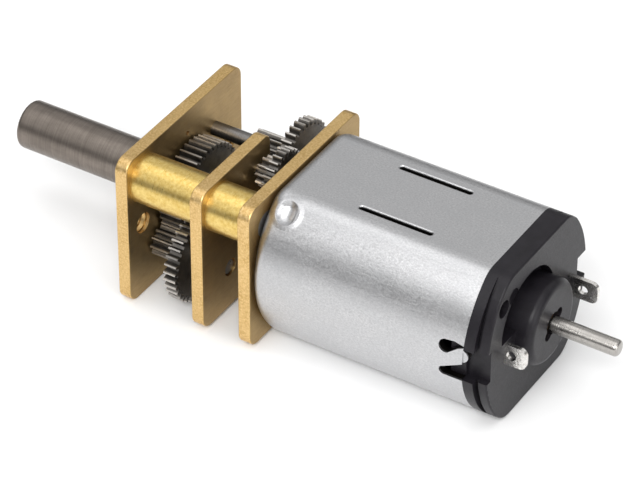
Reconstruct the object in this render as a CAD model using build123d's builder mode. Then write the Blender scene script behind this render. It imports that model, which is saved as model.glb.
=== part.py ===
"""A 12 x 10 mm brushed gearmotor: three-plate spur gearbox, D-shaped output shaft, rear motor shaft.

The origin is the centre of the gearbox's front (mounting) face, on the shaft line. +X points out
along the output shaft, +Y along the 12 mm width and +Z along the 10 mm height. Millimetres.
"""
from build123d import *
from math import acos, cos, degrees, pi, radians, sin, sqrt, tan
import os

# --- Overall section and the three gearbox plates ---
body_width = 12.0
body_height = 10.0
inner_plate_height = 9.7
plate_thickness = 0.8
plate_corner = 0.8
plate_edge_round = 0.08
front_gap = 4.25
rear_gap = 2.35

front_plate_back = -plate_thickness
middle_plate_front = front_plate_back - front_gap
middle_plate_back = middle_plate_front - plate_thickness
rear_plate_front = middle_plate_back - rear_gap
rear_plate_back = rear_plate_front - plate_thickness

# --- Gear train: tooth counts from the motor to the output ---
motor_pinion_teeth, first_gear_teeth = 20, 25
first_pinion_teeth, second_gear_teeth = 10, 32
second_pinion_teeth, third_gear_teeth = 10, 38
third_pinion_teeth, fourth_gear_teeth = 13, 35
fourth_pinion_teeth, output_gear_teeth = 10, 38
gear_module = 0.155
centre_distance = gear_module * (fourth_pinion_teeth + output_gear_teeth) / 2
idler_distance = gear_module * (first_pinion_teeth + second_gear_teeth) / 2
pressure_angle = radians(20)
pinion_shift = 0.1
undercut = 0.7
backlash = 0.02
pin_side = 3.1
pin_rise = sqrt(centre_distance**2 - pin_side**2)
upper_pin_y, upper_pin_z = -pin_side, pin_rise
lower_pin_y, lower_pin_z = pin_side, -pin_rise
# The idler pin stands straight above the motor shaft
idler_y, idler_z = 0.0, upper_pin_z + sqrt(idler_distance**2 - pin_side**2)
first_module = 2 * idler_z / (motor_pinion_teeth + first_gear_teeth)

# Front and back ends of each toothed part along X
output_gear_ends = (-0.95, -2.45)
fourth_pinion_ends = (-0.9, -3.1)
fourth_gear_ends = (-3.1, -3.9)
third_pinion_ends = (-2.65, -3.98)
third_gear_ends = (-3.98, -4.9)
second_pinion_ends = (-3.65, -6.3)
second_gear_ends = (-6.3, -7.0)
first_pinion_ends = (-6.15, -7.1)
first_gear_ends = (-7.1, -7.7)
motor_pinion_ends = (-7.1, -8.1)

# --- Shafts, pins and bearings ---
output_radius = 1.5
output_reach = 10.4
output_flat_depth = 0.5
output_round_root = 1.9
retaining_groove_ends = (1.17, 0.65)
retaining_groove_radius = 1.33
motor_shaft_radius = 0.5
motor_shaft_front = -7.05
motor_shaft_back = -29.4
motor_groove_ends = (-24.75, -25.27)
motor_groove_radius = 0.33
pin_radius = 0.45
idler_pin_radius = 0.35
running_clearance = 0.03
arbor_radius = 0.4
bushing_radius = 2.0
bushing_stand = 0.6

# --- Spacer posts and screws ---
post_radius = 1.5
post_bore = 0.85
post_y, post_z = 4.2, 3.1
screw_radius = 0.8
screw_head_radius = 1.3
tapped_hole_radius = 0.65
thread_root_radius = 0.76
thread_pitch = 0.35
mount_hole_spacing = 9.0
motor_screw_y, motor_screw_z = -1.75, 3.25
motor_screw_head_radius = 1.2

# --- Motor ---
can_front = rear_plate_back
can_back = -22.8
can_wall = 0.5
can_bend = 1.5
can_front_round = 0.8
can_boss_radius = 1.95
can_boss_height = 0.6
cap_back = -24.2
cap_groove_ends = (-23.45, -23.65)
cap_spigot_front = -21.8
boss_radius = 2.6
boss_back = -25.2
boss_round = 0.45
rotor_radius = 4.0
rotor_ends = (-11.8, -17.8)
coil_ends = (-11.1, -18.5)
commutator_ends = (-18.9, -21.4)
terminal_y = 3.6
terminal_width = 1.38
terminal_thickness = 0.25
near_terminal_back, far_terminal_back = -25.55, -26.12
terminal_hole_inset = 0.92
terminal_hole_radius = 0.3

os.makedirs("parts", exist_ok=True)


def across(x, y=0.0, z=0.0):
    """A sketch plane square to the shaft line: sketch X is +Y, sketch Y is +Z, extrude goes +X."""
    return Plane(origin=(x, y, z), x_dir=(0, 1, 0), z_dir=(1, 0, 0))


def save(builder, name):
    """Label a finished piece and write it as its own STEP file."""
    builder.part.label = name
    export_step(builder.part, f"parts/{name}.step")


def involute(angle):
    return tan(angle) - angle


def tooth_radii(teeth, module, shift):
    """Pitch, tip and root radii of a gear with the given profile shift."""
    pitch = module * teeth / 2
    return pitch, pitch + module * (1 + shift), pitch - module * (1.25 - shift)


def tooth_half_angle(teeth, module, shift, radius):
    """Half the angle that one tooth takes up at a radius, thinned for backlash."""
    pitch = module * teeth / 2
    base = pitch * cos(pressure_angle)
    local = acos(min(1.0, base / radius))
    half_at_pitch = (module * (pi / 2 + 2 * shift * tan(pressure_angle)) - backlash) / (2 * pitch)
    return half_at_pitch + involute(pressure_angle) - involute(local)


def toothed_disc(teeth, module, shift, aim, tooth_on_aim):
    """Sketch of a spur gear with a tooth, or a gap, pointing along the aim angle (degrees)."""
    pitch, tip, root = tooth_radii(teeth, module, shift)
    base = max(pitch * cos(pressure_angle), root)
    start = aim if tooth_on_aim else aim + 180 / teeth
    levels = [base, (base + tip) / 2, tip]
    halves = [tooth_half_angle(teeth, module, shift, r) for r in levels]
    upper = [(r * cos(h), r * sin(h)) for r, h in zip(levels, halves)]
    lower = [(x, -y) for x, y in upper]
    inside = 0.97 * root
    foot_half = halves[0] * (undercut if base > root else 1)
    foot = (inside * cos(foot_half), inside * sin(foot_half))
    with BuildSketch(mode=Mode.PRIVATE) as tooth:
        with BuildLine():
            Polyline((foot[0], -foot[1]), lower[0])
            Spline(*lower)
            ThreePointArc(lower[-1], (tip, 0), upper[-1])
            Spline(*reversed(upper))
            Polyline(upper[0], foot, (foot[0], -foot[1]))
        make_face()
    with BuildSketch(mode=Mode.PRIVATE) as disc:
        Circle(root)
        with PolarLocations(0, teeth, start_angle=start):
            add(tooth.sketch)
    return disc.sketch


def gear(ends, centre, teeth, module, shift, aim, tooth_on_aim, bore, neck=None):
    """A gear or pinion solid. neck is (radius, back end) of a plain sleeve behind the teeth."""
    front, back = ends
    profile = toothed_disc(teeth, module, shift, aim, tooth_on_aim)
    with BuildPart() as made:
        with BuildSketch(across(back, *centre)):
            add(profile)
        extrude(amount=front - back)
        if neck:
            with BuildSketch(across(neck[1], *centre)):
                Circle(neck[0])
            extrude(amount=back - neck[1])
        lowest = neck[1] if neck else back
        with BuildSketch(across(lowest, *centre)):
            Circle(bore)
        extrude(amount=front - lowest, mode=Mode.SUBTRACT)
    return made


def sleeve(front, back, outer, bore, centre=(0, 0)):
    """A plain tube or ring along the shaft direction."""
    with BuildPart() as made:
        with BuildSketch(across(back, *centre)):
            Circle(outer)
            Circle(bore, mode=Mode.SUBTRACT)
        extrude(amount=front - back)
    return made


# ---------------------------------------------------------------- gearbox plates
def rounded_rim(made):
    """Soften the outline edges on both faces of a plate whose holes are not cut yet."""
    layers = made.edges().group_by(Axis.X)
    fillet(layers[0] + layers[-1], plate_edge_round)


gauge_hole_radius = 0.15
with BuildPart() as front_plate:
    with BuildSketch(across(front_plate_back)):
        RectangleRounded(body_width, body_height, plate_corner)
    extrude(amount=plate_thickness)
    rounded_rim(front_plate)
    with BuildSketch(across(front_plate_back)):
        Circle(bushing_radius)
        with Locations((mount_hole_spacing / 2, 0), (-mount_hole_spacing / 2, 0)):
            Circle(tapped_hole_radius)
        with Locations((post_y, post_z), (-post_y, -post_z)):
            Circle(screw_radius)
        with Locations((upper_pin_y, upper_pin_z), (lower_pin_y, lower_pin_z)):
            Circle(pin_radius)
        with Locations((-0.25, 3.45)):
            Circle(gauge_hole_radius)
    extrude(amount=plate_thickness, mode=Mode.SUBTRACT)
    # Thread turns of the two tapped face holes, as rings
    for turn in (0.65, 1.65):
        with BuildSketch(across(-turn * thread_pitch - 0.06)):
            with Locations((mount_hole_spacing / 2, 0), (-mount_hole_spacing / 2, 0)):
                Circle(thread_root_radius)
        extrude(amount=0.12, mode=Mode.SUBTRACT)
    # Countersinks for the two long gearbox screws
    with BuildSketch(across(0)):
        with Locations((post_y, post_z), (-post_y, -post_z)):
            Circle(screw_head_radius)
    extrude(amount=-(screw_head_radius - screw_radius), taper=45, mode=Mode.SUBTRACT)
save(front_plate, "front_plate")

notch_y, notch_z = -1.25, 0.6
pin_hole_opening = 0.3
idler_pin_seat = 0.5
with BuildPart() as middle_plate:
    with BuildSketch(across(middle_plate_back)) as middle_outline:
        RectangleRounded(body_width, inner_plate_height, plate_corner)
        # One corner is cut away so that the long first pinion can pass the plate
        with Locations((notch_y, notch_z)):
            Rectangle(
                body_width / 2 + notch_y + 1,
                body_height / 2,
                align=(Align.MAX, Align.MIN),
                mode=Mode.SUBTRACT,
            )
        notch_corners = middle_outline.vertices().filter_by(
            lambda v: v.X < notch_y + 0.1 and v.Y > notch_z - 0.1
        )
        fillet(notch_corners.group_by(Axis.Y)[0], 0.45)
        top_corner = middle_outline.vertices().filter_by(
            lambda v: v.X < notch_y + 0.1 and v.Y > inner_plate_height / 2 - 0.1
        )
        fillet(top_corner, 0.6)
    extrude(amount=plate_thickness)
    rounded_rim(middle_plate)
    with BuildSketch(across(middle_plate_back)):
        Circle(arbor_radius)
        with Locations((post_y, post_z), (-post_y, -post_z)):
            Circle(screw_radius)
        with Locations((lower_pin_y, lower_pin_z)):
            Circle(pin_radius)
    extrude(amount=plate_thickness, mode=Mode.SUBTRACT)
    # The pin's hole is opened out at the back, where the pin ends
    with BuildSketch(across(middle_plate_back, lower_pin_y, lower_pin_z)):
        Circle(pin_radius + 0.1)
    extrude(amount=pin_hole_opening, mode=Mode.SUBTRACT)
    with BuildSketch(across(middle_plate_back, idler_y, idler_z)):
        Circle(idler_pin_radius)
    extrude(amount=idler_pin_seat, mode=Mode.SUBTRACT)
save(middle_plate, "middle_plate")

with BuildPart() as rear_plate:
    with BuildSketch(across(rear_plate_back)):
        RectangleRounded(body_width - 0.1, inner_plate_height, plate_corner)
    extrude(amount=plate_thickness)
    rounded_rim(rear_plate)
    with BuildSketch(across(rear_plate_back)):
        Circle(can_boss_radius + 0.03)
        with Locations((post_y, post_z), (-post_y, -post_z)):
            Circle(screw_radius)
        with Locations((motor_screw_y, motor_screw_z), (-motor_screw_y, -motor_screw_z)):
            Circle(screw_radius)
        with Locations((upper_pin_y, upper_pin_z)):
            Circle(pin_radius)
        with Locations((idler_y, idler_z)):
            Circle(idler_pin_radius)
    extrude(amount=plate_thickness, mode=Mode.SUBTRACT)
    with BuildSketch(across(rear_plate_front)):
        with Locations((motor_screw_y, motor_screw_z), (-motor_screw_y, -motor_screw_z)):
            Circle(motor_screw_head_radius)
    extrude(amount=-(motor_screw_head_radius - screw_radius), taper=45, mode=Mode.SUBTRACT)
save(rear_plate, "rear_plate")

# ---------------------------------------------------------------- spacer posts and screws
for name, post_front, post_back in (
    ("front_spacer_posts", front_plate_back, middle_plate_front),
    ("rear_spacer_posts", middle_plate_back, rear_plate_front),
):
    with BuildPart() as posts:
        with BuildSketch(across(post_back)):
            with Locations((post_y, post_z), (-post_y, -post_z)):
                Circle(post_radius)
                Circle(post_bore, mode=Mode.SUBTRACT)
        extrude(amount=post_front - post_back)
    save(posts, name)

slot_width, slot_depth = 0.35, 0.3
with BuildPart() as gearbox_screws:
    with BuildSketch(across(rear_plate_back)):
        with Locations((post_y, post_z), (-post_y, -post_z)):
            Circle(screw_radius)
    extrude(amount=-rear_plate_back)
    with BuildSketch(across(0)):
        with Locations((post_y, post_z), (-post_y, -post_z)):
            Circle(screw_head_radius)
    extrude(amount=-(screw_head_radius - screw_radius), taper=45)
    with BuildSketch(across(-slot_depth)):
        with Locations((post_y, post_z), (-post_y, -post_z)):
            Rectangle(slot_width, 3 * screw_head_radius, rotation=35)
    extrude(amount=slot_depth, mode=Mode.SUBTRACT)
save(gearbox_screws, "gearbox_screws")

screw_reach = can_front - can_wall
with BuildPart() as motor_screws:
    with BuildSketch(across(screw_reach)):
        with Locations((motor_screw_y, motor_screw_z), (-motor_screw_y, -motor_screw_z)):
            Circle(screw_radius)
    extrude(amount=rear_plate_front - screw_reach)
    with BuildSketch(across(rear_plate_front)):
        with Locations((motor_screw_y, motor_screw_z), (-motor_screw_y, -motor_screw_z)):
            Circle(motor_screw_head_radius)
    extrude(amount=-(motor_screw_head_radius - screw_radius), taper=45)
    with BuildSketch(across(rear_plate_front - slot_depth)):
        with Locations((motor_screw_y, motor_screw_z), (-motor_screw_y, -motor_screw_z)):
            Rectangle(slot_width, 3 * screw_head_radius)
    extrude(amount=slot_depth, mode=Mode.SUBTRACT)
save(motor_screws, "motor_screws")

# ---------------------------------------------------------------- pins, bushings, washers
save(sleeve(bushing_stand, front_plate_back, bushing_radius, output_radius + running_clearance), "output_bushing")
save(sleeve(front_plate_back, front_plate_back - 0.1, 1.95, output_radius + 0.1), "output_washer")

with BuildPart() as upper_layshaft_pin:
    with BuildSketch(across(rear_plate_back, upper_pin_y, upper_pin_z)):
        Circle(pin_radius)
    extrude(amount=-rear_plate_back)
save(upper_layshaft_pin, "upper_layshaft_pin")

lower_pin_recess = 0.1
with BuildPart() as lower_layshaft_pin:
    with BuildSketch(across(middle_plate_back + lower_pin_recess, lower_pin_y, lower_pin_z)):
        Circle(pin_radius)
    extrude(amount=-(middle_plate_back + lower_pin_recess))
save(lower_layshaft_pin, "lower_layshaft_pin")

with BuildPart() as idler_pin:
    with BuildSketch(across(rear_plate_back, idler_y, idler_z)):
        Circle(idler_pin_radius)
    extrude(amount=middle_plate_back + idler_pin_seat - rear_plate_back)
save(idler_pin, "idler_pin")

upper_spacer_radius, lower_spacer_radius, idler_spacer_radius = 0.9, 0.57, 0.7
upper_pin_spacer = sleeve(
    second_gear_ends[1] - 0.05, rear_plate_front, upper_spacer_radius, pin_radius, (upper_pin_y, upper_pin_z)
)
save(upper_pin_spacer, "upper_pin_spacer")
lower_pin_spacer = sleeve(
    fourth_gear_ends[1] - 0.05, middle_plate_front, lower_spacer_radius, pin_radius, (lower_pin_y, lower_pin_z)
)
save(lower_pin_spacer, "lower_pin_spacer")
idler_spacer = sleeve(
    first_gear_ends[1] - 0.05, rear_plate_front, idler_spacer_radius, idler_pin_radius, (idler_y, idler_z)
)
save(idler_spacer, "idler_spacer")

# ---------------------------------------------------------------- gears
aim_upper = degrees(acos(upper_pin_y / centre_distance))
aim_lower = aim_upper - 180
free_bore = pin_radius + running_clearance

aim_second = degrees(acos((upper_pin_y - idler_y) / idler_distance))
aim_second = 360 - aim_second

# Stage 1: motor pinion on the shaft line drives the first gear on the idler pin
motor_pinion = gear(
    motor_pinion_ends, (0, 0), motor_pinion_teeth, first_module, pinion_shift,
    90, True, motor_shaft_radius,
)
save(motor_pinion, "motor_pinion")
first_neck = 0.6
first_gear = gear(
    first_gear_ends, (idler_y, idler_z), first_gear_teeth, first_module, -pinion_shift,
    -90, False, first_neck,
)
save(first_gear, "first_gear")

# Stage 2: first pinion drives the second gear on the upper pin
first_pinion = gear(
    first_pinion_ends, (idler_y, idler_z), first_pinion_teeth, gear_module, pinion_shift,
    aim_second, True, idler_pin_radius + running_clearance, (first_neck, first_gear_ends[1]),
)
save(first_pinion, "first_pinion")
second_neck = 0.7
second_gear = gear(
    second_gear_ends, (upper_pin_y, upper_pin_z), second_gear_teeth, gear_module, -pinion_shift,
    aim_second + 180, False, second_neck,
)
save(second_gear, "second_gear")

# Stage 3: long second pinion passes the middle plate and drives the third gear on the shaft line
second_pinion = gear(
    second_pinion_ends, (upper_pin_y, upper_pin_z), second_pinion_teeth, gear_module, pinion_shift,
    aim_upper + 180, True, free_bore, (second_neck, second_gear_ends[1]),
)
save(second_pinion, "second_pinion")
third_neck = 0.8
third_gear = gear(
    third_gear_ends, (0, 0), third_gear_teeth, gear_module, -pinion_shift,
    aim_upper, False, third_neck,
)
save(third_gear, "third_gear")

# Stage 4: third pinion drives the fourth gear on the lower pin
third_pinion = gear(
    third_pinion_ends, (0, 0), third_pinion_teeth, gear_module, pinion_shift,
    aim_lower, True, arbor_radius + running_clearance, (third_neck, third_gear_ends[1]),
)
save(third_pinion, "third_pinion")
fourth_neck = 0.62
fourth_gear = gear(
    fourth_gear_ends, (lower_pin_y, lower_pin_z), fourth_gear_teeth, gear_module, -pinion_shift,
    aim_lower + 180, False, fourth_neck,
)
save(fourth_gear, "fourth_gear")

# Stage 5: fourth pinion drives the output gear
fourth_pinion = gear(
    fourth_pinion_ends, (lower_pin_y, lower_pin_z), fourth_pinion_teeth, gear_module, pinion_shift,
    aim_lower + 180, True, free_bore, (fourth_neck, fourth_gear_ends[1]),
)
save(fourth_pinion, "fourth_pinion")
output_gear = gear(
    output_gear_ends, (0, 0), output_gear_teeth, gear_module, -pinion_shift,
    aim_lower, False, output_radius,
)
save(output_gear, "output_gear")

# ---------------------------------------------------------------- output shaft and third arbor
pilot_depth = 0.9
arbor_front = output_gear_ends[1] + pilot_depth - 0.1
arbor_back = middle_plate_back + 0.1
relief_width = 0.15
with BuildPart() as output_shaft:
    with BuildSketch(across(output_gear_ends[1])):
        Circle(output_radius)
    extrude(amount=output_reach - output_gear_ends[1])
    fillet(output_shaft.edges().group_by(Axis.X)[-1], 0.25)
    # Retaining groove just in front of the bush
    with BuildSketch(across(retaining_groove_ends[1])):
        Circle(output_radius)
        Circle(retaining_groove_radius, mode=Mode.SUBTRACT)
    extrude(amount=retaining_groove_ends[0] - retaining_groove_ends[1], mode=Mode.SUBTRACT)
    # Narrow relief where the round root ends and the flat begins
    with BuildSketch(across(output_round_root - relief_width)):
        Circle(output_radius)
        Circle(retaining_groove_radius, mode=Mode.SUBTRACT)
    extrude(amount=relief_width, mode=Mode.SUBTRACT)
    # The flat of the D faces -Y
    with BuildSketch(across(output_round_root)):
        with Locations((-output_radius + output_flat_depth, 0)):
            Rectangle(output_radius, 4 * output_radius, align=(Align.MAX, Align.CENTER))
    extrude(amount=output_reach, mode=Mode.SUBTRACT)
    # Pilot bore that carries the front end of the third arbor
    with BuildSketch(across(output_gear_ends[1])):
        Circle(arbor_radius + running_clearance)
    extrude(amount=pilot_depth, mode=Mode.SUBTRACT)
save(output_shaft, "output_shaft")

with BuildPart() as third_arbor:
    with BuildSketch(across(arbor_back)):
        Circle(arbor_radius)
    extrude(amount=arbor_front - arbor_back)
save(third_arbor, "third_arbor")


# ---------------------------------------------------------------- motor can
def can_section(inset=0.0):
    """Round-sided motor section: a circle with its top and bottom cut flat, bends softened."""
    with BuildSketch(mode=Mode.PRIVATE) as section:
        Circle(body_width / 2 - inset)
        Rectangle(body_width, body_height - 2 * inset, mode=Mode.INTERSECT)
        fillet(section.vertices(), can_bend)
    return section.sketch


slot_back, slot_front = -18.6, -13.9
slot_side, can_slot_width, slot_lip = 2.2, 0.3, 0.1
dimple_x, dimple_y, dimple_z, dimple_radius = -10.35, 4.41, 4.68, 0.72
dimple_stretch = 0.15
with BuildPart() as motor_can:
    with BuildSketch(across(can_back)):
        add(can_section())
    extrude(amount=can_front - can_back)
    fillet(motor_can.edges().group_by(Axis.X)[-1], can_front_round)
    with BuildSketch(across(can_back)):
        add(can_section(can_wall))
    extrude(amount=can_front - can_wall - can_back, mode=Mode.SUBTRACT)
    # Front boss that locates in the gearbox's rear plate and holds the bearing
    with BuildSketch(across(can_front)):
        Circle(can_boss_radius)
    extrude(amount=can_boss_height)
    with BuildSketch(across(can_front - can_wall)):
        Circle(1.4)
        with Locations((motor_screw_y, motor_screw_z), (-motor_screw_y, -motor_screw_z)):
            Circle(screw_radius)
    extrude(amount=can_wall + can_boss_height, mode=Mode.SUBTRACT)
    # Two long lanced slots in each flat face, with rounded lips
    with BuildSketch(Plane.XY.offset(-body_height)):
        with Locations(((slot_front + slot_back) / 2, slot_side), ((slot_front + slot_back) / 2, -slot_side)):
            SlotOverall(slot_front - slot_back, can_slot_width)
    extrude(amount=2 * body_height, mode=Mode.SUBTRACT)
    lips = motor_can.edges().filter_by_position(Axis.X, slot_back - 0.1, slot_front + 0.1)
    fillet(lips.group_by(Axis.Z)[0] + lips.group_by(Axis.Z)[-1], slot_lip)
    # Oval dimples pressed into two opposite bends
    for side in (1, -1):
        for step in (-1, 0, 1):
            shift = step * dimple_stretch
            with Locations((dimple_x, side * (dimple_y + shift), side * (dimple_z - shift))):
                Sphere(dimple_radius, mode=Mode.SUBTRACT)
    # A locking tab between two teardrop slits on each round side
    for side in (1, -1):
        with BuildSketch(Plane.XZ.offset(-side * 5.0)):
            with Locations((-21.68, 1.0)):
                Circle(0.41)
            with BuildLine():
                Polyline(
                    (-21.7, 1.41), (-22.2, 1.47), (can_back, 1.36), (can_back, 1.25),
                    (-22.48, 1.12), (-21.98, 0.73), (-21.62, 0.6), (-21.7, 1.41),
                )
            make_face()
            with Locations((-21.64, -0.73)):
                Circle(0.3)
            with BuildLine():
                Polyline(
                    (-21.56, -0.44), (-21.97, -0.22), (can_back, 0.21), (can_back, -1.02),
                    (-22.2, -1.02), (-21.64, -1.03), (-21.56, -0.44),
                )
            make_face()
        extrude(amount=-side * 2.0, mode=Mode.SUBTRACT)
    # The tab's rounded tip reaches past the rim into the end cap's notch
    for side in (1, -1):
        with BuildSketch(Plane.XZ.offset(-side * (body_width / 2 - can_wall))):
            with Locations((can_back + 0.1, 0.7)):
                Circle(0.42)
        extrude(amount=-side * (can_wall - 0.1))
save(motor_can, "motor_can")

# ---------------------------------------------------------------- motor end cap
bearing_radius = 1.3


def trimmed_section(radius, offset):
    """Motor section whose two round sides are cut back by large circles."""
    with BuildSketch(mode=Mode.PRIVATE) as section:
        add(can_section())
        for side in (1, -1):
            with Locations((-side * offset, 0)):
                Circle(radius, mode=Mode.INTERSECT)
    return section.sketch


with BuildPart() as end_cap:
    with BuildSketch(across(cap_back)) as rear_band:
        add(trimmed_section(7.0, 1.3))
        trim_corners = rear_band.vertices().filter_by(lambda v: abs(v.X) > 3.9 and abs(v.Y) > 1)
        fillet(trim_corners, 1.0)
    extrude(amount=can_back - cap_back)
    fillet(end_cap.edges().group_by(Axis.X)[0], 0.12)
    with BuildSketch(across(cap_groove_ends[1])):
        add(can_section())
        add(trimmed_section(6.8, 1.35), mode=Mode.SUBTRACT)
    extrude(amount=cap_groove_ends[0] - cap_groove_ends[1], mode=Mode.SUBTRACT)
    with BuildSketch(across(cap_groove_ends[0])):
        add(can_section())
    extrude(amount=can_back - cap_groove_ends[0])
    with BuildSketch(across(can_back)):
        add(can_section(can_wall + 0.03))
    extrude(amount=cap_spigot_front - can_back)
    # Crescent recess beside the boss, on its upper near side
    with BuildSketch(across(cap_back)):
        with Locations((1.15, 0.95)):
            Circle(2.95)
        with Locations((0, 0.75)):
            Rectangle(body_width, body_height, align=(Align.CENTER, Align.MIN), mode=Mode.INTERSECT)
    extrude(amount=0.7, mode=Mode.SUBTRACT)
    with BuildSketch(across(boss_back)):
        Circle(boss_radius)
    extrude(amount=cap_back + 0.8 - boss_back)
    fillet(end_cap.edges().group_by(Axis.X)[0], boss_round)
    # Locking notches on both round sides; the far one is cut deeper
    for side, wall, low, high in ((1, 5.23, -0.95, 1.15), (-1, 4.6, -0.67, 1.11)):
        with BuildSketch(across(cap_back)):
            with Locations((side * (wall + 1), (low + high) / 2)):
                Rectangle(2, high - low)
        extrude(amount=can_back - cap_back, mode=Mode.SUBTRACT)
    # Commutator cavity, bearing seat and the shaft's exit with two side lobes
    with BuildSketch(across(-23.0)):
        Circle(2.0)
    extrude(amount=cap_spigot_front + 23.0, mode=Mode.SUBTRACT)
    with BuildSketch(across(-24.8)):
        Circle(bearing_radius)
    extrude(amount=1.8, mode=Mode.SUBTRACT)
    with BuildSketch(across(boss_back)):
        Circle(0.72)
        with Locations((-0.66, 0.3), (0.5, -0.52)):
            Circle(0.36)
    extrude(amount=0.4, mode=Mode.SUBTRACT)
    # Two round pits near one corner of the back face, and a small slot in the boss's rim
    with BuildSketch(across(cap_back)):
        with Locations((2.93, 3.5)):
            Circle(0.5)
        with Locations((4.0, 3.32)):
            Circle(0.54)
    extrude(amount=0.6, mode=Mode.SUBTRACT)
    with BuildSketch(across(boss_back)):
        with Locations((-1.25, -2.25)):
            Rectangle(1.0, 0.25, rotation=25)
    extrude(amount=0.55, mode=Mode.SUBTRACT)
    # Slots for the two terminal strips
    with BuildSketch(across(cap_back)):
        with Locations((terminal_y, 0), (-terminal_y, 0)):
            Rectangle(terminal_thickness, terminal_width)
    extrude(amount=cap_spigot_front - cap_back, mode=Mode.SUBTRACT)
save(end_cap, "end_cap")

# ---------------------------------------------------------------- bearings and magnets
front_bearing_back = can_front - 0.85
motor_bore = motor_shaft_radius + running_clearance
front_motor_bearing = sleeve(can_front + can_boss_height - 0.05, front_bearing_back, 1.4, motor_bore)
save(front_motor_bearing, "front_motor_bearing")
rear_motor_bearing = sleeve(-23.1, -24.8, bearing_radius, motor_bore)
save(rear_motor_bearing, "rear_motor_bearing")

magnet_ends = (-11.0, -18.6)
for side, name in ((1, "near_magnet"), (-1, "far_magnet")):
    with BuildPart() as magnet:
        with BuildSketch(across(magnet_ends[1])):
            Circle(body_width / 2 - can_wall - 0.03)
            Circle(rotor_radius + 0.35, mode=Mode.SUBTRACT)
            with Locations((side * body_width / 2, 0)):
                Rectangle(2 * 2.9, 7.0, mode=Mode.INTERSECT)
        extrude(amount=magnet_ends[0] - magnet_ends[1])
    save(magnet, name)

# ---------------------------------------------------------------- rotor
with BuildPart() as rotor_shaft:
    with BuildSketch(across(motor_shaft_back)):
        Circle(motor_shaft_radius)
    extrude(amount=motor_shaft_front - motor_shaft_back)
    fillet(rotor_shaft.edges().group_by(Axis.X)[0], 0.22)
    # Groove behind the rear bearing, inside the cap's opening
    with BuildSketch(across(motor_groove_ends[1])):
        Circle(motor_shaft_radius)
        Circle(motor_groove_radius, mode=Mode.SUBTRACT)
    extrude(amount=motor_groove_ends[0] - motor_groove_ends[1], mode=Mode.SUBTRACT)
save(rotor_shaft, "rotor_shaft")

arm_width, shoe_inner, hub_radius = 1.4, 3.15, 1.3
with BuildPart() as rotor_core:
    with BuildSketch(across(rotor_ends[1])):
        with PolarLocations(0, 3, start_angle=90):
            with Locations((rotor_radius / 2 - 0.1, 0)):
                Rectangle(rotor_radius - 0.2, arm_width)
        Circle(rotor_radius)
        Circle(shoe_inner, mode=Mode.SUBTRACT)
        with PolarLocations(0, 3, start_angle=30):
            with Locations((rotor_radius, 0)):
                Rectangle(2.4, 0.9, mode=Mode.SUBTRACT)
        with PolarLocations(0, 3, start_angle=90):
            with Locations(((rotor_radius - 0.2) / 2, 0)):
                Rectangle(rotor_radius - 0.2, arm_width)
        Circle(hub_radius)
        Circle(motor_shaft_radius, mode=Mode.SUBTRACT)
    extrude(amount=rotor_ends[0] - rotor_ends[1])
save(rotor_core, "rotor_core")

coil_inner, coil_outer, coil_width = 1.45, 3.05, 2.9
with BuildPart() as rotor_windings:
    with BuildSketch(across(coil_ends[1])):
        with PolarLocations(0, 3, start_angle=90):
            with Locations(((coil_inner + coil_outer) / 2, 0)):
                RectangleRounded(coil_outer - coil_inner, coil_width, 0.3)
        Circle(shoe_inner - 0.05, mode=Mode.INTERSECT)
    extrude(amount=coil_ends[0] - coil_ends[1])
    with BuildSketch(across(rotor_ends[1])):
        with PolarLocations(0, 3, start_angle=90):
            with Locations(((coil_inner + coil_outer) / 2, 0)):
                Rectangle(2, arm_width)
    extrude(amount=rotor_ends[0] - rotor_ends[1], mode=Mode.SUBTRACT)
save(rotor_windings, "rotor_windings")

commutator_radius, commutator_wall = 1.3, 0.3
save(sleeve(*commutator_ends, commutator_radius - commutator_wall, motor_shaft_radius), "commutator_hub")
with BuildPart() as commutator_segments:
    with BuildSketch(across(commutator_ends[1])):
        Circle(commutator_radius)
        Circle(commutator_radius - commutator_wall, mode=Mode.SUBTRACT)
        with PolarLocations(0, 3, start_angle=30):
            with Locations((commutator_radius, 0)):
                Rectangle(1.0, 0.15, mode=Mode.SUBTRACT)
    extrude(amount=commutator_ends[0] - commutator_ends[1])
save(commutator_segments, "commutator_segments")

save(sleeve(front_bearing_back - 0.05, front_bearing_back - 0.25, 1.1, motor_shaft_radius), "front_thrust_washer")
save(sleeve(-22.8, -23.0, 1.1, motor_shaft_radius), "rear_thrust_washer")

# ---------------------------------------------------------------- terminals and brushes
brush_ends = (-19.6, -20.6)
brush_thickness = 0.14
brush_y = commutator_radius + 0.05 + brush_thickness / 2
for side, place, terminal_back in ((1, "near", near_terminal_back), (-1, "far", far_terminal_back)):
    with BuildPart() as terminal:
        with BuildSketch(Plane.XZ.offset(-side * (terminal_y - terminal_thickness / 2))) as blade:
            with Locations(((brush_ends[0] + terminal_back) / 2, 0)):
                Rectangle(brush_ends[0] - terminal_back, terminal_width)
            fillet(blade.vertices().group_by(Axis.X)[0], 0.42)
            with Locations((terminal_back + terminal_hole_inset, 0)):
                Circle(terminal_hole_radius, mode=Mode.SUBTRACT)
        extrude(amount=-side * terminal_thickness)
    save(terminal, f"{place}_terminal")
    with BuildPart() as brush:
        with BuildSketch(across(brush_ends[1])):
            with BuildLine() as leaf:
                Polyline(
                    (side * (terminal_y - 0.2), side * 0.5),
                    (side * (terminal_y - 0.2), side * 1.7),
                    (side * brush_y, side * 1.5),
                    (side * brush_y, side * -1.3),
                )
            trace(line_width=brush_thickness)
        extrude(amount=brush_ends[0] - brush_ends[1])
    save(brush, f"{place}_brush")
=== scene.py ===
"""Looks for the 12 x 10 mm gearmotor: procedural metals and plastic, studio light and the camera.

The CAD frame has its origin at the gearbox's front face, +X along the output shaft, +Y along the
12 mm width and +Z up. Places and sizes are named in millimetres, and MM turns them into metres.
"""
import math

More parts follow.
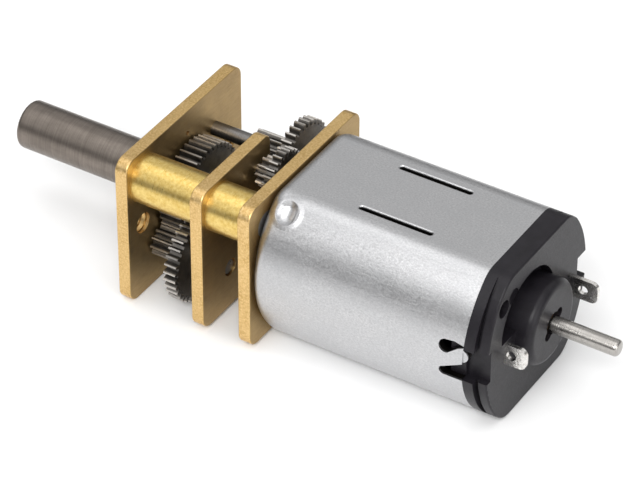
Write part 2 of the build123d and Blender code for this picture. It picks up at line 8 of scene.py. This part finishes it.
import bpy
from mathutils import Matrix, Vector


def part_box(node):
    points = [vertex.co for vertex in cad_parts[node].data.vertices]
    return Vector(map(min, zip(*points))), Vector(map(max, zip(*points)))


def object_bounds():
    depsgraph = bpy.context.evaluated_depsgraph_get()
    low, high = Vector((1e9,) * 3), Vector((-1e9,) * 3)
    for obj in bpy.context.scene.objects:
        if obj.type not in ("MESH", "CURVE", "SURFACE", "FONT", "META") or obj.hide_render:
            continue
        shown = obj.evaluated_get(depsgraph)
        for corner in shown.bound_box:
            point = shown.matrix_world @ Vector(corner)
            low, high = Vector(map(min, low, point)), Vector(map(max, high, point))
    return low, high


MM = 0.001
gear_module = 0.155
can_side_radius = 6.0
can_flat_height = 5.0  # half the can's height across its flats
can_bend_ends = (-11.9, -12.1)  # X where the rounded front of the can gives way to the straight wall
dimple_centre = (-10.35, 4.07, 4.33)
dimple_rim_radius = 0.75
dimple_rim_width = 0.28
floor_gap = 0.02
floor_half_width = 1200
light_aim = (-8, 0, 0)
camera_aim = (-10, 0, 0)

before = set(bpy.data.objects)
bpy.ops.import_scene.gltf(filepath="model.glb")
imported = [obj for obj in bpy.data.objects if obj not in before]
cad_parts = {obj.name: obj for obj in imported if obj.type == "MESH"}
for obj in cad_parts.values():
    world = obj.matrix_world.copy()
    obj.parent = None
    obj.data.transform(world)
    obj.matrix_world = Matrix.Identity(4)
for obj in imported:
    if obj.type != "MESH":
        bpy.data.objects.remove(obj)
cad_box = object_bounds()


# ---------------------------------------------------------------- node graph helper
class Look:
    """One material with a principled shader, and short calls that add the nodes in front of it."""

    def __init__(self, name):
        self.material = bpy.data.materials.new(name)
        self.material.use_nodes = True
        self.tree = self.material.node_tree
        self.shader = self.tree.nodes["Principled BSDF"]
        self.place = self.tree.nodes.new("ShaderNodeTexCoord")

    def set(self, **values):
        """Plain values on the shader's own sockets; underscores stand for spaces."""
        for key, value in values.items():
            self.shader.inputs[key.replace("_", " ")].default_value = value
        return self

    def link(self, out, node, socket):
        self.tree.links.new(out, node.inputs[socket])

    def feed(self, node, **inputs):
        for key, value in inputs.items():
            socket = int(key[1:]) if key[0] == "i" and key[1:].isdigit() else key.replace("_", " ")
            if isinstance(value, bpy.types.NodeSocket):
                self.link(value, node, socket)
            else:
                node.inputs[socket].default_value = value
        return node

    def math(self, operation, a, b=0.0):
        node = self.tree.nodes.new("ShaderNodeMath")
        node.operation = operation
        return self.feed(node, i0=a, i1=b).outputs[0]

    def length(self, *parts):
        """Length of a vector with these parts."""
        squares = [self.math("POWER", part, 2.0) for part in parts]
        total = squares[0]
        for square in squares[1:]:
            total = self.math("ADD", total, square)
        return self.math("SQRT", total)

    def coords(self, scale=(1, 1, 1), offset=(0, 0, 0)):
        """Object coordinates in millimetres, shifted by the offset (mm) and scaled."""
        node = self.tree.nodes.new("ShaderNodeMapping")
        factor = [value / MM for value in scale]
        shift = [-away * value for away, value in zip(offset, scale)]
        self.feed(node, Vector=self.place.outputs["Object"], Scale=factor, Location=shift)
        return node.outputs["Vector"]

    def noise(self, vector, detail=4.0, roughness=0.6):
        node = self.tree.nodes.new("ShaderNodeTexNoise")
        return self.feed(node, Vector=vector, Scale=1.0, Detail=detail, Roughness=roughness).outputs["Fac"]

    def spread(self, value, low, high, to_low=0.0, to_high=1.0):
        node = self.tree.nodes.new("ShaderNodeMapRange")
        self.feed(node, Value=value, From_Min=low, From_Max=high, To_Min=to_low, To_Max=to_high)
        return node.outputs["Result"]

    def blend(self, factor, low, high):
        """Colour between low and high."""
        node = self.tree.nodes.new("ShaderNodeMix")
        node.data_type = "RGBA"
        for socket, value in ((0, factor), (6, low), (7, high)):
            if isinstance(value, bpy.types.NodeSocket):
                self.tree.links.new(value, node.inputs[socket])
            else:
                node.inputs[socket].default_value = (*value, 1) if socket else value
        return node.outputs[2]

    def split(self, vector):
        node = self.tree.nodes.new("ShaderNodeSeparateXYZ")
        self.link(vector, node, 0)
        return node.outputs

    def bump(self, height, depth, strength=1.0, before=None):
        """Surface relief. depth is in millimetres."""
        node = self.tree.nodes.new("ShaderNodeBump")
        self.feed(node, Height=height, Distance=depth * MM, Strength=strength)
        if before:
            self.link(before, node, "Normal")
        self.link(node.outputs["Normal"], self.shader, "Normal")
        return node.outputs["Normal"]

    def finish(self, color, roughness=None):
        self.link(color, self.shader, "Base Color")
        if roughness:
            self.link(roughness, self.shader, "Roughness")
        return self.material


def dress(material, *nodes):
    """Give a material to CAD nodes, in place of their own."""
    for name in nodes:
        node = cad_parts[name]
        node.data.materials.clear()
        node.data.materials.append(material)


# ---------------------------------------------------------------- materials
def plate_brass():
    """Brass sheet: tan-gold sheared edges that also carry a painted highlight, and duller olive faces that
    also carry painted shade, with oil stains.
    """
    look = Look("plate_brass").set(Metallic=1.0)
    facing = look.split(look.place.outputs["Normal"])
    # Painted light by surface direction: edges lightened as a painted highlight, broad faces darkened as
    # painted shade
    face_shade_mask = look.spread(look.math("ABSOLUTE", facing[0]), 0.6, 0.9)
    blotch = look.noise(look.coords((0.5, 0.5, 0.5)), detail=5)
    grain = look.noise(look.coords((8, 8, 8)), detail=3, roughness=0.75)
    streak = look.noise(look.coords((6, 1.2, 22)), detail=3)
    edge_tone_and_highlight = look.blend(look.spread(blotch, 0.35, 0.65), (0.50, 0.31, 0.10), (0.62, 0.41, 0.16))
    edge_tone_and_highlight = look.blend(look.spread(grain, 0.38, 0.68), edge_tone_and_highlight, (0.78, 0.57, 0.28))
    face_tone_and_shade = look.blend(look.spread(blotch, 0.3, 0.7), (0.27, 0.18, 0.075), (0.42, 0.29, 0.125))
    face_tone_and_shade = look.blend(look.spread(streak, 0.3, 0.75, 0, 0.5), face_tone_and_shade, (0.54, 0.38, 0.18))
    color = look.blend(face_shade_mask, edge_tone_and_highlight, face_tone_and_shade)
    rough = look.math("ADD", look.spread(grain, 0.3, 0.7, 0.30, 0.46), look.spread(face_shade_mask, 0, 1, 0, 0.04))
    first = look.bump(look.noise(look.coords((13, 13, 13)), detail=2), 0.008)
    look.bump(streak, 0.004, before=first)
    return look.finish(color, rough)


def post_brass():
    """Bright turned brass with fine turning rings."""
    look = Look("post_brass").set(Metallic=1.0)
    rings = look.noise(look.coords((16, 0.5, 0.5)), detail=4, roughness=0.65)
    spots = look.noise(look.coords((5, 5, 5)), detail=4, roughness=0.7)
    color = look.blend(look.spread(spots, 0.35, 0.7), (0.62, 0.42, 0.11), (0.80, 0.62, 0.24))
    rough = look.spread(rings, 0.3, 0.7, 0.26, 0.36)
    first = look.bump(rings, 0.0016)
    look.bump(look.noise(look.coords((7, 7, 7)), detail=3), 0.005, before=first)
    return look.finish(color, rough)


def gear_steel(name, centre, tip, face_low, face_high, land_highlight_tone):
    """Hobbed steel with a painted highlight on the tooth lands. centre is (y, z) in mm, tip the radius in
    mm.
    """
    look = Look(name).set(Metallic=1.0)
    place = look.split(look.coords(offset=(0, *centre)))
    radius = look.length(place[1], place[2])
    wear = look.noise(look.coords((5, 5, 5)), detail=5, roughness=0.7)
    jittered_radius = look.math("ADD", radius, look.spread(wear, 0, 1, -0.05, 0.05))
    # The painted highlight on the lands begins half a module under the tip and is full just below it
    land_highlight = look.spread(jittered_radius, tip - gear_module / 2, tip - 0.05)
    oil = look.noise(look.coords((1.1, 1.1, 1.1)), detail=4)
    turned = look.noise(look.coords((18, 1, 1)), detail=3)
    dark = look.blend(look.spread(oil, 0.3, 0.7), face_low, face_high)
    color = look.blend(land_highlight, dark, land_highlight_tone)
    rough = look.math("ADD", look.spread(wear, 0.3, 0.7, 0.38, 0.52), look.spread(land_highlight, 0, 1, 0.0, -0.06))
    first = look.bump(turned, 0.004)
    look.bump(look.noise(look.coords((12, 12, 12)), detail=2), 0.003, before=first)
    return look.finish(color, rough)


def turned_metal(name, low, high, rough=(0.3, 0.42), ring_scale=16):
    """Metal turned about the shaft line: fine marks run round it, under faint stains."""
    relief = 0.004
    look = Look(name).set(Metallic=1.0)
    rings = look.noise(look.coords((ring_scale, 0.35, 0.35)), detail=5, roughness=0.7)
    stain = look.noise(look.coords((0.8, 1.6, 1.6)), detail=5, roughness=0.65)
    color = look.blend(look.spread(rings, 0.3, 0.7), low, high)
    color = look.blend(look.spread(stain, 0.4, 0.8, 0, 0.5), color, [value * 0.6 for value in low])
    first = look.bump(rings, relief)
    look.bump(look.noise(look.coords((12, 12, 12)), detail=2), relief / 2, before=first)
    return look.finish(color, look.spread(stain, 0.3, 0.7, *rough))


def can_zinc():
    """Satin zinc plate: sandy grain, faint drawn lines, cloudy patches, painted shade inside the cuts."""
    look = Look("can_zinc").set(Metallic=1.0)
    grain = look.noise(look.coords((8, 11, 11)), detail=3, roughness=0.8)
    drawn = look.noise(look.coords((0.5, 6, 6)), detail=4, roughness=0.6)
    blotch = look.noise(look.coords((0.45, 0.6, 0.6)), detail=4)
    color = look.blend(look.spread(grain, 0.32, 0.68), (0.40, 0.40, 0.41), (0.62, 0.62, 0.625))
    color = look.blend(look.spread(blotch, 0.35, 0.65, 0, 0.4), color, (0.46, 0.465, 0.475))
    drawn_gloss = look.spread(drawn, 0.3, 0.7, -0.03, 0.03)
    rough = look.math("ADD", look.spread(grain, 0.3, 0.7, 0.30, 0.42), drawn_gloss)
    # Painted shade: the metal is darkened where it lies under the skin, inside the cuts of the straight
    # wall
    along, across, up = look.split(look.coords())
    across_size = look.math("ABSOLUTE", across)
    up_size = look.math("ABSOLUTE", up)
    under_round = look.math("SUBTRACT", can_side_radius, look.length(across, up))
    under_flat = look.math("SUBTRACT", can_flat_height, up_size)
    depth = look.math("MINIMUM", under_round, under_flat)
    behind = look.spread(along, *can_bend_ends)
    slot_shade = look.math("MULTIPLY", look.spread(depth, 0.09, 0.16), behind)
    color = look.blend(slot_shade, color, (0.055, 0.048, 0.042))
    # Soft raised ring at each of the four front bends; two of them hold a dimple
    away = look.length(
        look.math("SUBTRACT", across_size, dimple_centre[1]),
        look.math("SUBTRACT", up_size, dimple_centre[2]),
        look.math("SUBTRACT", along, dimple_centre[0]),
    )
    off_rim = look.math("ABSOLUTE", look.math("SUBTRACT", away, dimple_rim_radius))
    rim = look.spread(off_rim, dimple_rim_width, 0.0)
    first = look.bump(grain, 0.008)
    second = look.bump(drawn, 0.004, before=first)
    look.bump(rim, 0.03, before=second)
    return look.finish(color, rough)


def plastic(name, low, high, rough=(0.38, 0.5), shine=0.5):
    """Moulded plastic: slow flow marks in the colour, fine grain in the gloss."""
    look = Look(name).set(Metallic=0.0, Specular_IOR_Level=shine)
    grain = look.noise(look.coords((12, 12, 12)), detail=4, roughness=0.7)
    flow = look.noise(look.coords((1.2, 1.2, 1.2)), detail=4)
    color = look.blend(look.spread(flow, 0.3, 0.7), low, high)
    first = look.bump(grain, 0.005)
    look.bump(flow, 0.012, 0.6, before=first)
    return look.finish(color, look.spread(grain, 0.3, 0.7, *rough))


def sheet_metal(name, low, high, rough=(0.2, 0.34), metallic=1.0):
    """Stamped or wound metal, or ferrite at a low metallic value: sandy colour, cloudy gloss."""
    look = Look(name).set(Metallic=metallic)
    grain = look.noise(look.coords((7, 7, 7)), detail=5, roughness=0.7)
    blotch = look.noise(look.coords((1.5, 1.5, 1.5)), detail=4)
    color = look.blend(look.spread(grain, 0.3, 0.7), low, high)
    first = look.bump(grain, 0.008)
    look.bump(blotch, 0.03, 0.7, before=first)
    return look.finish(color, look.spread(blotch, 0.3, 0.7, *rough))


# ---------------------------------------------------------------- what each piece wears
dress(plate_brass(), "front_plate", "middle_plate", "rear_plate")
dress(post_brass(), "front_spacer_posts", "rear_spacer_posts")

# Two tones of the flanks and faces, then the tone of the painted highlight on the lands; some gears take
# the darker set, some the lighter
darker_tones = ((0.07, 0.065, 0.06), (0.15, 0.14, 0.125), (0.30, 0.28, 0.255))
bright = ((0.10, 0.093, 0.085), (0.20, 0.187, 0.172), (0.45, 0.425, 0.395))
gear_tones = {
    "output_gear": darker_tones,
    "fourth_pinion": darker_tones,
    "fourth_gear": bright,
    "third_pinion": darker_tones,
    "third_gear": darker_tones,
    "second_pinion": bright,
    "second_gear": bright,
    "first_pinion": bright,
    "first_gear": bright,
}
for gear_name, tones in gear_tones.items():
    low_corner, high_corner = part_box(gear_name)
    middle = (low_corner + high_corner) / 2 / MM
    tip_radius = (high_corner.y - low_corner.y) / 2 / MM
    dress(gear_steel(gear_name + "_steel", (middle.y, middle.z), tip_radius, *tones), gear_name)

dress(
    turned_metal("output_shaft_steel", (0.17, 0.145, 0.125), (0.27, 0.235, 0.205), (0.30, 0.42)),
    "output_shaft",
)
dress(
    turned_metal("bright_shaft_steel", (0.34, 0.325, 0.305), (0.50, 0.48, 0.455), (0.20, 0.32)),
    "rotor_shaft",
)
dress(
    turned_metal("pin_steel", (0.16, 0.155, 0.15), (0.28, 0.27, 0.26), (0.26, 0.38)),
    "upper_layshaft_pin", "lower_layshaft_pin", "third_arbor", "idler_pin",
)
dress(
    turned_metal("screw_steel", (0.34, 0.34, 0.33), (0.50, 0.49, 0.47)),
    "gearbox_screws", "motor_screws",
)
dress(
    turned_metal("washer_steel", (0.36, 0.35, 0.33), (0.52, 0.51, 0.48)),
    "output_washer", "upper_pin_spacer", "lower_pin_spacer", "idler_spacer",
)
dress(
    turned_metal("sintered_bronze", (0.34, 0.22, 0.11), (0.52, 0.36, 0.20), (0.4, 0.55), 6),
    "output_bushing", "front_motor_bearing", "rear_motor_bearing",
)
dress(turned_metal("pinion_brass", (0.62, 0.46, 0.20), (0.80, 0.62, 0.30)), "motor_pinion")
dress(can_zinc(), "motor_can")
dress(
    plastic("cap_plastic", (0.0075, 0.0065, 0.0085), (0.0135, 0.012, 0.015), (0.32, 0.44), 0.22),
    "end_cap",
)
dress(
    sheet_metal("terminal_tin", (0.62, 0.59, 0.55), (0.88, 0.87, 0.85), (0.18, 0.32)),
    "near_terminal", "far_terminal",
)
dress(
    sheet_metal("brush_spring_alloy", (0.50, 0.38, 0.22), (0.68, 0.54, 0.34)),
    "near_brush", "far_brush",
)
dress(
    sheet_metal("ferrite", (0.05, 0.05, 0.052), (0.10, 0.10, 0.105), (0.5, 0.65), 0.2),
    "near_magnet", "far_magnet",
)
dress(sheet_metal("core_laminations", (0.18, 0.18, 0.19), (0.30, 0.30, 0.31)), "rotor_core")
dress(sheet_metal("enamelled_copper", (0.45, 0.16, 0.06), (0.62, 0.26, 0.10)), "rotor_windings")
dress(sheet_metal("commutator_copper", (0.60, 0.30, 0.17), (0.76, 0.44, 0.28)), "commutator_segments")
dress(plastic("commutator_resin", (0.10, 0.05, 0.03), (0.16, 0.09, 0.05)), "commutator_hub")
dress(
    plastic("washer_nylon", (0.60, 0.58, 0.52), (0.70, 0.68, 0.62)),
    "front_thrust_washer", "rear_thrust_washer",
)


# ---------------------------------------------------------------- floor, light and camera
def floor():
    """A pale floor just under the motor, wide enough to fill the view."""
    height = cad_box[0][2] - floor_gap * MM
    reach = floor_half_width * MM
    turns = ((-1, -1), (1, -1), (1, 1), (-1, 1))
    corners = [(x * reach, y * reach, height) for x, y in turns]
    mesh = bpy.data.meshes.new("floor")
    mesh.from_pydata(corners, [], [(0, 1, 2, 3)])
    piece = bpy.data.objects.new("floor", mesh)
    bpy.context.scene.collection.objects.link(piece)
    look = Look("floor_paper").set(Metallic=0.0, Roughness=0.8)
    tone = look.noise(look.coords((0.3, 0.3, 0.3)), detail=3)
    mesh.materials.append(look.finish(look.blend(tone, (0.86, 0.86, 0.86), (0.88, 0.88, 0.88))))


def area_light(name, at, size, power):
    """A rectangular white softbox aimed at the motor. at and size are in mm, power in watts."""
    lamp = bpy.data.lights.new(name, "AREA")
    lamp.shape = "RECTANGLE"
    lamp.size, lamp.size_y = size[0] * MM, size[1] * MM
    lamp.energy = power
    holder = bpy.data.objects.new(name, lamp)
    holder.location = Vector(at) * MM
    toward = (Vector(light_aim) - Vector(at)).normalized()
    holder.rotation_euler = toward.to_track_quat("-Z", "Y").to_euler()
    bpy.context.scene.collection.objects.link(holder)


def studio():
    """A room that is bright above and grey round the horizon, with three softboxes."""
    world = bpy.data.worlds.new("studio")
    bpy.context.scene.world = world
    world.use_nodes = True
    tree = world.node_tree
    place = tree.nodes.new("ShaderNodeTexCoord")
    part = tree.nodes.new("ShaderNodeSeparateXYZ")
    ramp = tree.nodes.new("ShaderNodeValToRGB")
    tree.links.new(place.outputs["Generated"], part.inputs[0])
    scale = tree.nodes.new("ShaderNodeMapRange")
    scale.inputs["From Min"].default_value = -1.0
    tree.links.new(part.outputs[2], scale.inputs["Value"])
    tree.links.new(scale.outputs[0], ramp.inputs[0])
    # Tones by height: 0 is straight below, 0.5 the horizon and 1 straight above
    below, above = ramp.color_ramp.elements
    below.color = (0.31, 0.31, 0.31, 1)
    above.color = (0.70, 0.70, 0.70, 1)
    for height, tone in ((0.45, 0.13), (0.64, 0.22), (0.78, 0.95)):
        ramp.color_ramp.elements.new(height).color = (tone, tone, tone, 1)
    tree.links.new(ramp.outputs[0], tree.nodes["Background"].inputs["Color"])
    tree.nodes["Background"].inputs["Strength"].default_value = 0.95
    area_light("softbox_above", (-10, 20, 210), (260, 160), 0.16)
    area_light("softbox_near", (-50, 160, 150), (150, 90), 0.36)
    area_light("softbox_behind", (-190, 60, 60), (110, 110), 0.12)


def camera():
    """The view from behind and above, on the +Y side, at the distance that gives its perspective."""
    azimuth, elevation, roll = math.radians(211.636), math.radians(37.876), math.radians(0.29)
    distance, aside, raised = 200.192, 0.017, 0.328  # mm, the last two from the aim across the view
    back = Vector((
        math.sin(azimuth) * math.cos(elevation),
        -math.cos(azimuth) * math.cos(elevation),
        math.sin(elevation),
    ))
    right = Vector((0, 0, 1)).cross(back).normalized()
    up = back.cross(right)
    tilted_right = math.cos(roll) * right + math.sin(roll) * up
    tilted_up = -math.sin(roll) * right + math.cos(roll) * up
    at = Vector(camera_aim) - tilted_right * aside - tilted_up * raised + back * distance
    data = bpy.data.cameras.new("camera")
    data.sensor_width = 36
    data.lens = 196.58
    data.clip_start, data.clip_end = 0.01, 10
    holder = bpy.data.objects.new("camera", data)
    turn = Matrix((tilted_right, tilted_up, back)).transposed().to_4x4()
    holder.matrix_world = Matrix.Translation(at * MM) @ turn
    bpy.context.scene.collection.objects.link(holder)
    bpy.context.scene.camera = holder


bpy.context.scene.view_settings.view_transform = "Standard"
floor()
studio()
camera()
